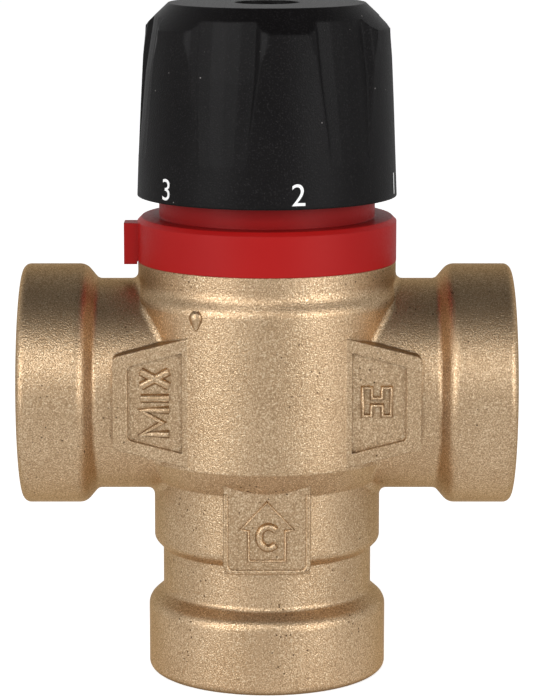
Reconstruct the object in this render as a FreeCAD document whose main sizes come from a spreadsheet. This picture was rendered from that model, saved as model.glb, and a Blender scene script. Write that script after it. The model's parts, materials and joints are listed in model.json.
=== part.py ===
"""Thermostatic mixing valve with two side ports, a bottom port and an adjusting knob.

Millimetres.  The origin is the centre of the bottom port's end face, +Z runs up along the
knob's axis, +X points out of the hot port and -X out of the mixed-water port.
"""
import FreeCAD, Part
import os
import re
from math import pi, radians

import Sketcher

# ---------------------------------------------------------------- driving dimensions
SIZES = {
    # casting, outside
    "port_reach": 35.0,
    "port_height": 42.0,
    "side_flange_radius": 17.2,
    "side_flange_length": 9.0,
    "side_neck_radius": 15.1,
    "cold_flange_radius": 17.15,
    "cold_flange_length": 10.3,
    "cold_neck_radius": 15.05,
    "flange_slope": 1.8,
    "flange_corner_round": 1.1,
    "flange_back_round": 1.9,
    "flange_foot_round": 0.9,
    "shoulder_radius": 16.3,
    "shoulder_height": 18.2,
    "shoulder_slope": 1.3,
    "shoulder_round": 1.2,
    "casting_radius": 19.5,
    "casting_foot": 28.6,
    "casting_foot_slope": 3.9,
    "casting_head": 54.6,
    "casting_head_slope": 1.6,
    "ring_radius": 18.45,
    "body_top": 60.0,
    "neck_blend": 1.1,
    # raised pads on the casting
    "side_pad_height": 1.0,
    "side_pad_root": 9.75,
    "side_pad_reach": 21.5,
    "side_pad_half": 6.5,
    "side_pad_flare": 0.254,
    "side_pad_rim": 1.85,
    "pad_border": 2.1,
    "pad_corner_round": 0.9,
    "pad_recess_round": 0.6,
    "pad_sink": 0.6,
    "cold_pad_height": 0.5,
    "cold_pad_half": 6.05,
    "cold_pad_bottom": 17.8,
    # casting, inside
    "thread_radius": 13.22,
    "thread_length": 12.5,
    "thread_chamfer": 0.7,
    "drill_point": 1.5,
    "ledge_radius": 6.6,
    "ledge_height": 17.0,
    "guide_radius": 8.55,
    "chamber_radius": 13.5,
    "hot_chamber_bottom": 31.0,
    "web_bottom": 38.5,
    "web_thickness": 2.5,
    "hot_seat_radius": 10.0,
    "chamber_top": 52.0,
    "hot_way_width": 20.0,
    "hot_way_height": 6.4,
    "mix_way_width": 20.0,
    "mix_way_height": 9.6,
    "bonnet_bore_radius": 15.0,
    # bonnet
    "thread_gap": 0.1,
    "bonnet_flange_radius": 16.6,
    "bonnet_flange_thickness": 2.2,
    "bonnet_hex_flats": 24.0,
    "bonnet_hex_height": 4.0,
    "bonnet_neck_radius": 12.0,
    "bonnet_top": 77.5,
    "bonnet_roof": 7.5,
    "bonnet_inner_radius": 10.5,
    "bonnet_seal_wire": 1.4,
    "bonnet_seal_play": 0.4,
    "groove_gap": 0.1,
    "carrier_key_width": 4.2,
    "carrier_key_radius": 11.6,
    "carrier_key_height": 1.9,
    "key_gap": 0.3,
    "key_slot_height": 6.4,
    # cage and cold seat
    "cage_radius": 11.2,
    "cage_wall": 1.4,
    "cage_rim_thickness": 1.2,
    "nose_gap": 0.1,
    "cold_seat_thickness": 1.8,
    "cage_sill": 0.5,
    "cage_window_width": 10.0,
    "cage_window_height": 3.8,
    # collar
    "collar_seat_gap": 0.3,
    "collar_radius": 18.5,
    "collar_height": 6.3,
    "collar_round": 0.6,
    "collar_neck_radius": 15.4,
    "collar_neck_height": 11.0,
    "collar_bore_radius": 14.2,
    "pointer_reach": 20.4,
    "pointer_width": 3.6,
    "pointer_height": 5.9,
    "pointer_drop": 0.5,
    "pointer_gap": 0.15,
    # knob
    "knob_bottom": 69.4,
    "knob_bottom_radius": 18.5,
    "knob_shoulder_height": 93.2,
    "knob_shoulder_radius": 17.6,
    "knob_top": 96.6,
    "knob_top_radius": 14.0,
    "knob_wall": 2.0,
    "knob_roof": 2.2,
    "knob_shelf": 1.2,
    "knob_cavity_radius": 13.4,
    "knob_turned": 10.0,
    "flute_count": 6.0,
    "flute_low_height": 74.5,
    "flute_low_half": 10.5,
    "flute_low_gap": 0.05,
    "flute_knee_height": 87.0,
    "flute_knee_half": 14.0,
    "flute_knee_depth": 0.7,
    "flute_high_half": 15.0,
    "flute_high_depth": 2.0,
    "flute_wall_rise": 0.95,
    "flute_wall_angle": 2.6,
    "flute_lip_rise": 0.35,
    "flute_lip_angle": 3.3,
    "flute_outside": 24.0,
    "knob_recess_radius": 4.6,
    "knob_hub_radius": 6.9,
    "knob_rib_thickness": 1.2,
    "knob_rib_count": 6.0,
    "knob_rib_start": 5.5,
    "knob_rib_lift": 3.0,
    "knob_rib_sink": 0.2,
    # spindle
    "stem_radius": 5.0,
    "stem_gap": 0.05,
    "stem_seal_wire": 1.5,
    "stem_seal_play": 0.3,
    "stem_seal_start": 1.2,
    "stem_seal_land": 1.0,
    "spindle_cup_radius": 10.2,
    "spindle_cup_bottom": 58.9,
    "spindle_thread_radius": 8.0,
    "spindle_thread_top": 67.8,
    "spindle_top": 90.0,
    "spline_radius": 4.4,
    "spline_tooth": 0.55,
    "spline_count": 18.0,
    "spline_gap": 0.08,
    "spline_root_half": 0.5,
    "spline_tip_half": 0.25,
    "spline_root_sink": 0.3,
    "thrust_washer_thickness": 0.7,
    "thrust_washer_play": 0.4,
    "washer_play": 0.1,
    "clip_thickness": 0.8,
    "clip_radius": 6.6,
    "clip_groove_depth": 0.8,
    "clip_gap": 0.8,
    "clip_play": 0.1,
    "clip_fit": 0.05,
    "screw_radius": 2.0,
    "screw_length": 9.0,
    "screw_play": 0.03,
    "screw_clearance": 0.2,
    "screw_head_radius": 3.5,
    "screw_head_height": 2.4,
    "screw_head_bevel": 0.4,
    "screw_socket_flats": 2.5,
    "screw_socket_depth": 1.4,
    "screw_washer_radius": 4.0,
    "screw_washer_thickness": 0.5,
    # adjusting carrier with overtravel spring
    "screw_thread_gap": 0.05,
    "carrier_bottom": 55.5,
    "carrier_top": 66.0,
    "carrier_roof": 1.5,
    "carrier_bore_radius": 6.4,
    "carrier_clip_lift": 0.8,
    "carrier_clip_thickness": 0.8,
    "carrier_clip_depth": 0.5,
    "carrier_clip_width": 1.4,
    "cap_thickness": 1.5,
    "cap_gap": 0.15,
    "overtravel_wire": 1.2,
    "overtravel_turns": 3.0,
    # thermostatic element
    "element_radius": 5.0,
    "element_collar_radius": 6.4,
    "element_collar_gap": 1.4,
    "element_collar_thickness": 1.4,
    "element_nose_radius": 3.5,
    "element_nose_gap": 0.5,
    "element_round": 0.8,
    "element_bore_depth": 7.4,
    "pin_radius": 1.5,
    "pin_hold": 2.0,
    "pin_reach": 4.0,
    "pin_gap": 0.08,
    # piston
    "piston_gap": 0.05,
    "piston_bottom": 25.5,
    "piston_wall": 1.2,
    "piston_foot_wall": 1.95,
    "piston_foot_height": 5.0,
    "piston_foot_slope": 1.0,
    "piston_flange_radius": 11.0,
    "piston_flange_thickness": 2.0,
    "piston_travel_gap": 1.1,
    "piston_hub_radius": 3.2,
    "piston_hub_length": 4.8,
    "piston_hub_rise": 0.2,
    "piston_arm_thickness": 1.6,
    "piston_arm_count": 3.0,
    "piston_arm_sink": 0.4,
    "piston_arm_inset": 0.8,
    "piston_groove_height": 27.2,
    "piston_seal_wire": 1.3,
    "piston_seal_play": 0.3,
    "return_wire": 1.1,
    "return_turns": 4.5,
    "spring_gap": 0.05,
    "seal_gap": 0.02,
}

# Heights and radii that follow from the sizes above.
PLACES = {
    "side_pad_front": "side_neck_radius + side_pad_height",
    "cold_pad_front": "shoulder_radius + cold_pad_height",
    "side_flange_back": "port_reach - side_flange_length",
    "side_neck_start": "side_flange_back - flange_slope",
    "cold_neck_start": "cold_flange_length + flange_slope",
    "shoulder_top": "shoulder_height + shoulder_slope",
    "casting_foot_top": "casting_foot + casting_foot_slope",
    "side_pad_recess_end": "sqrt(casting_radius^2 - (side_pad_front - pad_sink)^2)",
    "web_top": "web_bottom + web_thickness",
    "thread_end": "port_reach - thread_length",
    "hot_way_middle": "(hot_chamber_bottom + web_bottom) / 2",
    "mix_way_middle": "(web_top + chamber_top) / 2",
    "cage_rim_top": "chamber_top + cage_rim_thickness",
    "cage_rim_radius": "bonnet_bore_radius - thread_gap",
    "cage_bore_radius": "cage_radius - cage_wall",
    "cage_nose_radius": "element_nose_radius + nose_gap",
    "cold_seat_height": "web_top + piston_flange_thickness + 2 * piston_travel_gap",
    "cold_seat_top": "cold_seat_height + cold_seat_thickness",
    "cage_window_bottom": "cold_seat_top + cage_sill",
    "bonnet_thread_radius": "bonnet_bore_radius - thread_gap",
    "bonnet_groove_radius": "bonnet_bore_radius - bonnet_seal_wire - groove_gap",
    "bonnet_groove_bottom": "body_top - bonnet_seal_wire - bonnet_seal_play",
    "bonnet_flange_top": "body_top + bonnet_flange_thickness",
    "bonnet_ceiling": "bonnet_top - bonnet_roof",
    "stem_bore_radius": "stem_radius + stem_gap",
    "collar_top": "body_top + collar_height",
    "collar_neck_top": "body_top + collar_neck_height",
    "collar_seat_radius": "bonnet_flange_radius + collar_seat_gap",
    "knob_recess_floor": "spindle_top + knob_shelf",
    "knob_ceiling": "knob_top - knob_roof",
    "knob_hub_bottom": "clip_top + clip_gap",
    "knob_rib_bottom": "knob_hub_bottom + knob_rib_lift",
    "knob_bore_radius": "knob_bottom_radius - knob_wall",
    "knob_rib_reach": "knob_bore_radius - (knob_bore_radius - knob_cavity_radius)"
                      " * (knob_rib_bottom - knob_bottom) / (knob_ceiling - knob_bottom)",
    "knob_lean": "(knob_bottom_radius - knob_shoulder_radius) / (knob_shoulder_height - knob_bottom)",
    "flute_low_radius": "knob_bottom_radius - (flute_low_height - knob_bottom) * knob_lean"
                        " + flute_low_gap",
    "flute_knee_radius": "knob_bottom_radius - (flute_knee_height - knob_bottom) * knob_lean"
                         " - flute_knee_depth",
    "flute_high_height": "knob_top",
    "flute_high_radius": "knob_shoulder_radius - flute_high_depth",
    "spindle_cup_top": "bonnet_ceiling - thrust_washer_thickness",
    "stem_seal_room": "stem_seal_wire + stem_seal_play",
    "stem_seal_low": "bonnet_ceiling + stem_seal_start",
    "stem_seal_high": "stem_seal_low + stem_seal_room + stem_seal_land",
    "stem_groove_radius": "stem_radius - stem_seal_wire",
    "clip_bottom": "bonnet_top + clip_play",
    "clip_top": "clip_bottom + clip_thickness",
    "clip_groove_radius": "stem_radius - clip_groove_depth",
    "spline_bottom": "clip_top + clip_gap",
    "spline_bore_radius": "spline_radius + spline_gap",
    "screw_head_bottom": "knob_recess_floor + screw_washer_thickness",
    "screw_head_top": "screw_head_bottom + screw_head_height",
    "carrier_radius": "spindle_thread_radius - screw_thread_gap",
    "carrier_ceiling": "carrier_top - carrier_roof",
    "carrier_clip_height": "carrier_bottom + carrier_clip_lift",
    "carrier_clip_top": "carrier_clip_height + carrier_clip_thickness",
    "carrier_groove_radius": "carrier_bore_radius + carrier_clip_depth",
    "cap_top": "carrier_clip_top + cap_thickness",
    "overtravel_radius": "carrier_bore_radius - overtravel_wire",
    "element_collar_height": "cold_seat_top + element_collar_gap",
    "element_nose_bottom": "piston_flange_top + element_nose_gap",
    "pin_bottom": "piston_hub_top - pin_hold",
    "pin_top": "element_nose_bottom + pin_reach",
    "element_collar_top": "element_collar_height + element_collar_thickness",
    "piston_radius": "guide_radius - piston_gap",
    "piston_bore_radius": "piston_radius - piston_wall",
    "piston_foot_radius": "piston_radius - piston_foot_wall",
    "piston_flange_bottom": "web_top + piston_travel_gap",
    "piston_flange_top": "piston_flange_bottom + piston_flange_thickness",
    "piston_hub_top": "piston_flange_bottom + piston_hub_rise",
    "piston_hub_bottom": "piston_hub_top - piston_hub_length",
    "piston_foot_top": "piston_bottom + piston_foot_height",
    "piston_groove_radius": "guide_radius - piston_seal_wire - groove_gap",
    "piston_groove_top": "piston_groove_height + piston_seal_wire + piston_seal_play",
    "return_radius": "piston_radius - piston_foot_wall / 2",
}

doc = FreeCAD.newDocument("mixing_valve")
sheet = doc.addObject("Spreadsheet::Sheet", "Sizes")
for row, (name, value) in enumerate(SIZES.items(), start=1):
    sheet.set(f"A{row}", name)
    sheet.set(f"B{row}", str(value))
    sheet.setAlias(f"B{row}", name)
doc.recompute()


# ---------------------------------------------------------------- helpers
def formula(text):
    """Write the places out in full and point every size at its cell."""
    def swap(match):
        word = match.group(0)
        if word in PLACES:
            return f"({formula(PLACES[word])})"
        return f"Sizes.{word}" if word in SIZES else word
    return re.sub(r"[a-z][a-z_]+", swap, text)


def number(text):
    """Value of a formula."""
    return float(sheet.evalExpression(formula(text)))


def bind(target, path, text):
    target.setExpression(path, formula(text))


def new_body(label):
    body = doc.addObject("PartDesign::Body", label)
    body.Label = label
    return body


def new_sketch(body, plane="XZ_Plane", lift="0", along="y"):
    """Sketch on one of the body's own planes; lift shifts it along its y or its normal z."""
    sketch = body.newObject("Sketcher::SketchObject", f"{body.Label}_sketch")
    origin_plane = [item for item in body.Origin.OriginFeatures if item.Role == plane]
    sketch.AttachmentSupport = [(origin_plane[0], "")]
    sketch.MapMode = "FlatFace"
    bind(sketch, f"AttachmentOffset.Base.{along}", lift)
    return sketch


def pin(sketch, curve, point, x, y):
    """Hold one point of a curve at (x, y), both formulas."""
    for kind, text in (("DistanceX", x), ("DistanceY", y)):
        rule = Sketcher.Constraint(kind, -1, 1, curve, point, number(text))
        bind(sketch, f"Constraints[{sketch.addConstraint(rule)}]", text)


def outline(sketch, corners):
    """Closed run of straight lines through corners, each a pair of formulas."""
    places = [FreeCAD.Vector(number(x), number(y), 0) for x, y in corners]
    first = sketch.GeometryCount
    for here, there in zip(places, places[1:] + places[:1]):
        sketch.addGeometry(Part.LineSegment(here, there), False)
    for index, (x, y) in enumerate(corners):
        after = first + (index + 1) % len(corners)
        sketch.addConstraint(Sketcher.Constraint("Coincident", first + index, 2, after, 1))
        pin(sketch, first + index, 1, x, y)


def circle(sketch, radius, x="0", y="0"):
    centre = FreeCAD.Vector(number(x), number(y), 0)
    curve = sketch.addGeometry(Part.Circle(centre, FreeCAD.Vector(0, 0, 1), number(radius)), False)
    pin(sketch, curve, 3, x, y)
    rule = sketch.addConstraint(Sketcher.Constraint("Radius", curve, number(radius)))
    bind(sketch, f"Constraints[{rule}]", radius)


def rectangle(sketch, left, right, bottom, top):
    outline(sketch, [(left, bottom), (right, bottom), (right, top), (left, top)])


def slot(sketch, height, width, tall):
    """Level slot with round ends, centred on the sketch's upright axis."""
    end = f"(({width}) - ({tall})) / 2"
    middle, half = number(height), number(tall) / 2
    reach, up = number(end), FreeCAD.Vector(0, 0, 1)
    first = sketch.GeometryCount
    for side, turn in ((1, -90), (-1, 90)):
        ring = Part.Circle(FreeCAD.Vector(side * reach, middle, 0), up, half)
        start = radians(turn)
        sketch.addGeometry(Part.ArcOfCircle(ring, start, start + pi), False)
    for side in (1, -1):
        here = FreeCAD.Vector(side * reach, middle + side * half, 0)
        there = FreeCAD.Vector(-side * reach, middle + side * half, 0)
        sketch.addGeometry(Part.LineSegment(here, there), False)
    for curve, point, other in ((0, 2, 2), (2, 2, 1), (1, 2, 3), (3, 2, 0)):
        sketch.addConstraint(Sketcher.Constraint(
            "Coincident", first + curve, point, first + other, 1))
    for arc, side in ((first, ""), (first + 1, "-")):
        pin(sketch, arc, 3, f"{side}{end}", height)
        rule = sketch.addConstraint(Sketcher.Constraint("Radius", arc, half))
        bind(sketch, f"Constraints[{rule}]", f"{tall} / 2")
        for point in (1, 2):
            sketch.addConstraint(Sketcher.Constraint("Vertical", arc, point, arc, 3))


def turned(body, corners, cut=False, plane="XZ_Plane", angle="360"):
    """Turn an outline of (radius, height) corners about Z."""
    return spun(body, new_sketch(body, plane), corners, "V_Axis", cut, angle)


def turned_across(body, corners, cut=False):
    """Turn an outline of (x, radius) corners about the side ports' axis."""
    return spun(body, new_sketch(body, "XY_Plane", "port_height", "z"), corners, "H_Axis", cut)


def spun(body, sketch, corners, axis, cut=False, angle="360"):
    outline(sketch, corners)
    kind = "Groove" if cut else "Revolution"
    feature = body.newObject(f"PartDesign::{kind}", f"{body.Label}_{kind.lower()}")
    feature.Profile = sketch
    feature.ReferenceAxis = (sketch, [axis])
    feature.Midplane = True
    bind(feature, "Angle", angle)
    doc.recompute()
    return feature


def extruded(body, draw, length, plane="XZ_Plane", lift="0", cut=False, reverse=False, both=False):
    """Pad or pocket of what draw() puts in a sketch."""
    sketch = new_sketch(body, plane, lift, "z")
    draw(sketch)
    kind = "Pocket" if cut else "Pad"
    feature = body.newObject(f"PartDesign::{kind}", f"{body.Label}_{kind.lower()}")
    feature.Profile = sketch
    bind(feature, "Length", length)
    feature.Reversed = reverse
    feature.Midplane = both
    doc.recompute()
    return feature


def softened(body, kind, size, wanted):
    """Fillet or chamfer on the edges of the body that wanted(edge) picks."""
    base = body.Tip
    names = [f"Edge{i}" for i, edge in enumerate(base.Shape.Edges, start=1) if wanted(edge)]
    feature = body.newObject(f"PartDesign::{kind}", f"{body.Label}_{kind.lower()}")
    feature.Base = (base, names)
    bind(feature, "Radius" if kind == "Fillet" else "Size", size)
    doc.recompute()
    return feature


def ring_edge(radius, place, axis="z"):
    """Test for a full circle of that radius about Z (or X) whose centre lies at that place."""
    size, offset = number(radius), number(place)

    def test(edge):
        curve = edge.Curve
        if not isinstance(curve, Part.Circle) or abs(curve.Radius - size) > 1e-4:
            return False
        return abs(abs(getattr(curve.Center, axis)) - offset) < 1e-4
    return test


def any_of(*tests):
    return lambda edge: any(test(edge) for test in tests)

# ---------------------------------------------------------------- casting
def is_side_neck(face):
    """Cylindrical face of a side neck."""
    surface = face.Surface
    return (isinstance(surface, Part.Cylinder) and abs(surface.Axis.x) > 0.99
            and abs(surface.Radius - number("side_neck_radius")) < 1e-4)


def neck_meets_casting(shape):
    """Test for the edges where a side neck runs into the upright casting."""
    def test(edge):
        faces = shape.ancestorsOfType(edge, Part.Face)
        necks = [face for face in faces if is_side_neck(face)]
        reach = max(abs(vertex.X) for vertex in edge.Vertexes)
        return len(necks) == 1 and len(faces) == 2 and reach < number("side_neck_start") - 0.5
    return test


def make_valve_body():
    body = new_body("valve_body")
    turned(body, [
        ("0", "0"), ("cold_flange_radius", "0"), ("cold_flange_radius", "cold_flange_length"),
        ("cold_neck_radius", "cold_neck_start"), ("cold_neck_radius", "shoulder_height"),
        ("shoulder_radius", "shoulder_top"), ("shoulder_radius", "casting_foot"),
        ("casting_radius", "casting_foot_top"), ("casting_radius", "casting_head"),
        ("ring_radius", "casting_head + casting_head_slope"), ("ring_radius", "body_top"),
        ("0", "body_top")], plane="YZ_Plane")
    turned_across(body, [
        ("-port_reach", "0"), ("port_reach", "0"), ("port_reach", "side_flange_radius"),
        ("side_flange_back", "side_flange_radius"), ("side_neck_start", "side_neck_radius"),
        ("-side_neck_start", "side_neck_radius"), ("-side_flange_back", "side_flange_radius"),
        ("-port_reach", "side_flange_radius")])
    softened(body, "Fillet", "neck_blend", neck_meets_casting(body.Tip.Shape))
    softened(body, "Fillet", "flange_corner_round", any_of(
        ring_edge("side_flange_radius", "port_reach", "x"), ring_edge("cold_flange_radius", "0")))
    softened(body, "Fillet", "flange_back_round", any_of(
        ring_edge("side_flange_radius", "side_flange_back", "x"),
        ring_edge("cold_flange_radius", "cold_flange_length")))
    softened(body, "Fillet", "flange_foot_round", any_of(
        ring_edge("side_neck_radius", "side_neck_start", "x"),
        ring_edge("cold_neck_radius", "cold_neck_start")))
    softened(body, "Fillet", "shoulder_round", ring_edge("shoulder_radius", "shoulder_top"))
    add_side_pad(body, "-1")
    add_side_pad(body, "1")
    add_cold_pad(body)
    hollow_valve_body(body)
    return body


def is_pad_corner(place):
    """Test for a straight edge along Y at that distance from the middle plane."""
    reach = number(place)

    def test(edge):
        curve = edge.Curve
        if not isinstance(curve, Part.Line) or abs(curve.Direction.y) < 0.99:
            return False
        return abs(abs(edge.CenterOfMass.x) - reach) < 1e-4
    return test


def add_side_pad(body, side):
    """Raised plate on the front of a side neck, sunk inside its border."""
    def half(reach, rim):
        return f"(side_pad_half + (side_pad_reach - ({reach})) * side_pad_flare - {rim})"

    def plate(start, end, rim):
        near, far = half(start, rim), half(end, rim)
        return lambda sketch: outline(sketch, [
            (f"{side} * ({start})", f"port_height - {near}"),
            (f"{side} * ({end})", f"port_height - {far}"),
            (f"{side} * ({end})", f"port_height + {far}"),
            (f"{side} * ({start})", f"port_height + {near}")])
    recess_end = "side_pad_reach - pad_border"
    extruded(body, plate("side_pad_root", "side_pad_reach", "0"), "side_pad_front")
    softened(body, "Fillet", "pad_corner_round", on_side(side, is_pad_corner("side_pad_reach")))
    extruded(body, plate("side_pad_recess_end", recess_end, "side_pad_rim"), "pad_sink",
             lift="side_pad_front", cut=True)
    softened(body, "Fillet", "pad_recess_round", on_side(side, is_pad_corner(recess_end)))


def on_side(side, test):
    """The same test, kept to one side of the valve."""
    return lambda edge: edge.CenterOfMass.x * float(side) > 0 and test(edge)


def add_cold_pad(body):
    """Raised plate between the bottom neck and the casting."""
    def plate(sketch):
        rectangle(sketch, "-cold_pad_half", "cold_pad_half", "cold_pad_bottom",
                  "casting_foot_top")
    extruded(body, plate, "cold_pad_front")


def hollow_valve_body(body):
    """Threaded ports, chambers, seat, guide bore and the ways between them."""
    turned(body, [
        ("0", "0"), ("thread_radius + thread_chamfer", "0"), ("thread_radius", "thread_chamfer"),
        ("thread_radius", "thread_length"), ("ledge_radius", "thread_length + drill_point"),
        ("ledge_radius", "ledge_height"), ("guide_radius", "ledge_height"),
        ("guide_radius", "hot_chamber_bottom"), ("chamber_radius", "hot_chamber_bottom"),
        ("chamber_radius", "web_bottom"), ("hot_seat_radius", "web_bottom"),
        ("hot_seat_radius", "web_top"), ("chamber_radius", "web_top"),
        ("chamber_radius", "chamber_top"), ("bonnet_bore_radius", "chamber_top"),
        ("bonnet_bore_radius", "body_top"), ("0", "body_top")], cut=True, plane="YZ_Plane")
    for side in ("-1", "1"):
        turned_across(body, [
            (f"{side} * port_reach", "0"),
            (f"{side} * port_reach", "thread_radius + thread_chamfer"),
            (f"{side} * (port_reach - thread_chamfer)", "thread_radius"),
            (f"{side} * thread_end", "thread_radius"),
            (f"{side} * (thread_end - drill_point)", "0")], cut=True)
    for side, middle, width, height in (
            ("1", "hot_way_middle", "hot_way_width", "hot_way_height"),
            ("-1", "mix_way_middle", "mix_way_width", "mix_way_height")):
        def way(sketch):
            slot(sketch, middle, width, height)
        extruded(body, way, "thread_end", plane="YZ_Plane", cut=True, reverse=side == "1")


# ---------------------------------------------------------------- bonnet, cage and collar
def hexagon(sketch, flats):
    """Hexagon with two corners on the sketch's x axis."""
    corner, half = f"({flats}) / sqrt(3)", f"({flats}) / 2"
    outline(sketch, [(f"{corner}", "0"), (f"{corner} / 2", half), (f"-{corner} / 2", half),
                     (f"-{corner}", "0"), (f"-{corner} / 2", f"-{half}"),
                     (f"{corner} / 2", f"-{half}")])


def repeated(body, feature, count):
    """Polar pattern of a feature about Z."""
    pattern = body.newObject("PartDesign::PolarPattern", f"{body.Label}_pattern")
    pattern.Originals = [feature]
    axis = [item for item in body.Origin.OriginFeatures if item.Role == "Z_Axis"]
    pattern.Axis = (axis[0], [""])
    pattern.Angle = 360
    bind(pattern, "Occurrences", count)
    body.Tip = pattern
    doc.recompute()
    return pattern


def make_bonnet():
    body = new_body("bonnet")
    extruded(body, lambda sketch: hexagon(sketch, "bonnet_hex_flats"), "bonnet_hex_height",
             plane="XY_Plane", lift="bonnet_flange_top")
    turned(body, [
        ("0", "cage_rim_top"), ("bonnet_thread_radius", "cage_rim_top"),
        ("bonnet_thread_radius", "bonnet_groove_bottom"),
        ("bonnet_groove_radius", "bonnet_groove_bottom"), ("bonnet_groove_radius", "body_top"),
        ("bonnet_flange_radius", "body_top"), ("bonnet_flange_radius", "bonnet_flange_top"),
        ("bonnet_neck_radius", "bonnet_flange_top"), ("bonnet_neck_radius", "bonnet_top"),
        ("0", "bonnet_top")])
    turned(body, [
        ("0", "cage_rim_top"), ("bonnet_inner_radius", "cage_rim_top"),
        ("bonnet_inner_radius", "bonnet_ceiling"), ("stem_bore_radius", "bonnet_ceiling"),
        ("stem_bore_radius", "bonnet_top"), ("0", "bonnet_top")], cut=True)
    slot_half = "carrier_key_width / 2 + key_gap"
    slot_reach = "carrier_key_radius + key_gap"
    extruded(body, lambda sketch: rectangle(
        sketch, f"-({slot_reach})", slot_reach, f"-({slot_half})", slot_half),
        "key_slot_height", plane="XY_Plane", lift="cage_rim_top", cut=True, reverse=True)
    return body


def make_flow_cage():
    """Cold seat carried by a windowed cage that hangs from the bonnet."""
    body = new_body("flow_cage")
    turned(body, [
        ("cage_nose_radius", "cold_seat_height"), ("cage_radius", "cold_seat_height"),
        ("cage_radius", "chamber_top"), ("cage_rim_radius", "chamber_top"),
        ("cage_rim_radius", "cage_rim_top"), ("cage_bore_radius", "cage_rim_top"),
        ("cage_bore_radius", "cold_seat_top"), ("cage_nose_radius", "cold_seat_top")])
    for plane in ("XZ_Plane", "YZ_Plane"):
        extruded(body, lambda sketch: rectangle(
            sketch, "-cage_window_width / 2", "cage_window_width / 2", "cage_window_bottom",
            "cage_window_bottom + cage_window_height"),
            "cage_radius * 3", plane=plane, cut=True, both=True)
    return body


def make_marker_collar():
    """Coloured collar with its neck and the pointer for the knob's numbers."""
    body = new_body("marker_collar")
    extruded(body, lambda sketch: rectangle(
        sketch, "-pointer_reach", "-(collar_seat_radius + collar_radius) / 2", "-pointer_width / 2",
        "pointer_width / 2"), "pointer_height", plane="XY_Plane", lift="body_top - pointer_drop")
    turned(body, [
        ("0", "body_top - pointer_drop"), ("ring_radius + pointer_gap", "body_top - pointer_drop"),
        ("ring_radius + pointer_gap", "body_top"), ("0", "body_top")], cut=True)
    turned(body, [
        ("collar_seat_radius", "body_top"), ("collar_radius", "body_top"),
        ("collar_radius", "collar_top - collar_round"),
        ("collar_radius - collar_round", "collar_top"), ("collar_neck_radius", "collar_top"),
        ("collar_neck_radius", "collar_neck_top"), ("collar_bore_radius", "collar_neck_top"),
        ("collar_bore_radius", "bonnet_flange_top"), ("collar_seat_radius", "bonnet_flange_top")])
    return body


# ---------------------------------------------------------------- knob
def make_knob():
    """Tapered grip with flutes, hollow behind, on a ribbed hub with a splined bore."""
    body = new_body("knob")
    turned(body, [
        ("0", "knob_bottom"), ("knob_bottom_radius", "knob_bottom"),
        ("knob_shoulder_radius", "knob_shoulder_height"),
        ("knob_top_radius", "knob_top"), ("0", "knob_top")])
    flute = body.newObject("PartDesign::SubtractiveLoft", "flute")
    low, knee, high = [flute_section(body, f"flute_{place}") for place in ("low", "knee", "high")]
    flute.Profile = low
    flute.Sections = [knee, high]
    flute.Ruled = True
    doc.recompute()
    repeated(body, flute, "flute_count")
    turned(body, [
        ("0", "knob_bottom"), ("knob_bore_radius", "knob_bottom"),
        ("knob_cavity_radius", "knob_ceiling"), ("knob_hub_radius", "knob_ceiling"),
        ("knob_hub_radius", "knob_hub_bottom"), ("0", "knob_hub_bottom")], cut=True)
    rib = extruded(body, lambda sketch: outline(sketch, [
        ("knob_rib_start", "knob_rib_bottom"),
        ("knob_rib_reach + knob_wall / 3", "knob_rib_bottom"),
        ("knob_cavity_radius + knob_wall / 3", "knob_ceiling + knob_rib_sink"),
        ("knob_rib_start", "knob_ceiling + knob_rib_sink")]), "knob_rib_thickness", both=True)
    repeated(body, rib, "knob_rib_count")
    turned(body, [
        ("0", "knob_hub_bottom"), ("spline_bore_radius", "knob_hub_bottom"),
        ("spline_bore_radius", "spindle_top"), ("screw_radius + screw_clearance", "spindle_top"),
        ("screw_radius + screw_clearance", "knob_recess_floor"),
        ("knob_recess_radius", "knob_recess_floor"),
        ("knob_recess_radius", "knob_top"), ("0", "knob_top")], cut=True)
    notch = extruded(body, lambda sketch: tooth(sketch, "spline_gap"),
                     "spindle_top - knob_hub_bottom", plane="XY_Plane", lift="knob_hub_bottom",
                     cut=True, reverse=True)
    repeated(body, notch, "spline_count")
    bind(body, "Placement.Rotation.Angle", "knob_turned")
    return body


def flute_section(body, place):
    """Level section of one flute: curved floor, sloped walls, and lips that open outwards."""
    floor, half = f"{place}_radius", f"{place}_half"
    wall, lip = f"({half} + flute_wall_angle)", f"({half} + flute_wall_angle + flute_lip_angle)"
    side = [
        (floor, half), (f"({floor} + flute_wall_rise)", wall),
        (f"({floor} + flute_wall_rise + flute_lip_rise)", lip),
        ("flute_outside", f"({lip} + flute_lip_angle * 2)")]
    run = [(radius, f"-{angle}") for radius, angle in reversed(side)]
    run += [(floor, f"-{half} / 2"), (floor, "0"), (floor, f"{half} / 2"), *side]
    sketch = new_sketch(body, "XY_Plane", f"{place}_height", "z")
    outline(sketch, [(f"{radius} * cos({angle} * 1 deg)", f"{radius} * sin({angle} * 1 deg)")
                     for radius, angle in run])
    return sketch


def tooth(sketch, gap):
    """One spline tooth, a wedge on the sketch's x axis, grown all round by gap."""
    root, tip = "spline_radius - spline_root_sink", f"spline_radius + spline_tooth + {gap}"
    wide, narrow = f"(spline_root_half + {gap})", f"(spline_tip_half + {gap})"
    outline(sketch, [(root, f"-{wide}"), (tip, f"-{narrow}"), (tip, narrow), (root, wide)])


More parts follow.
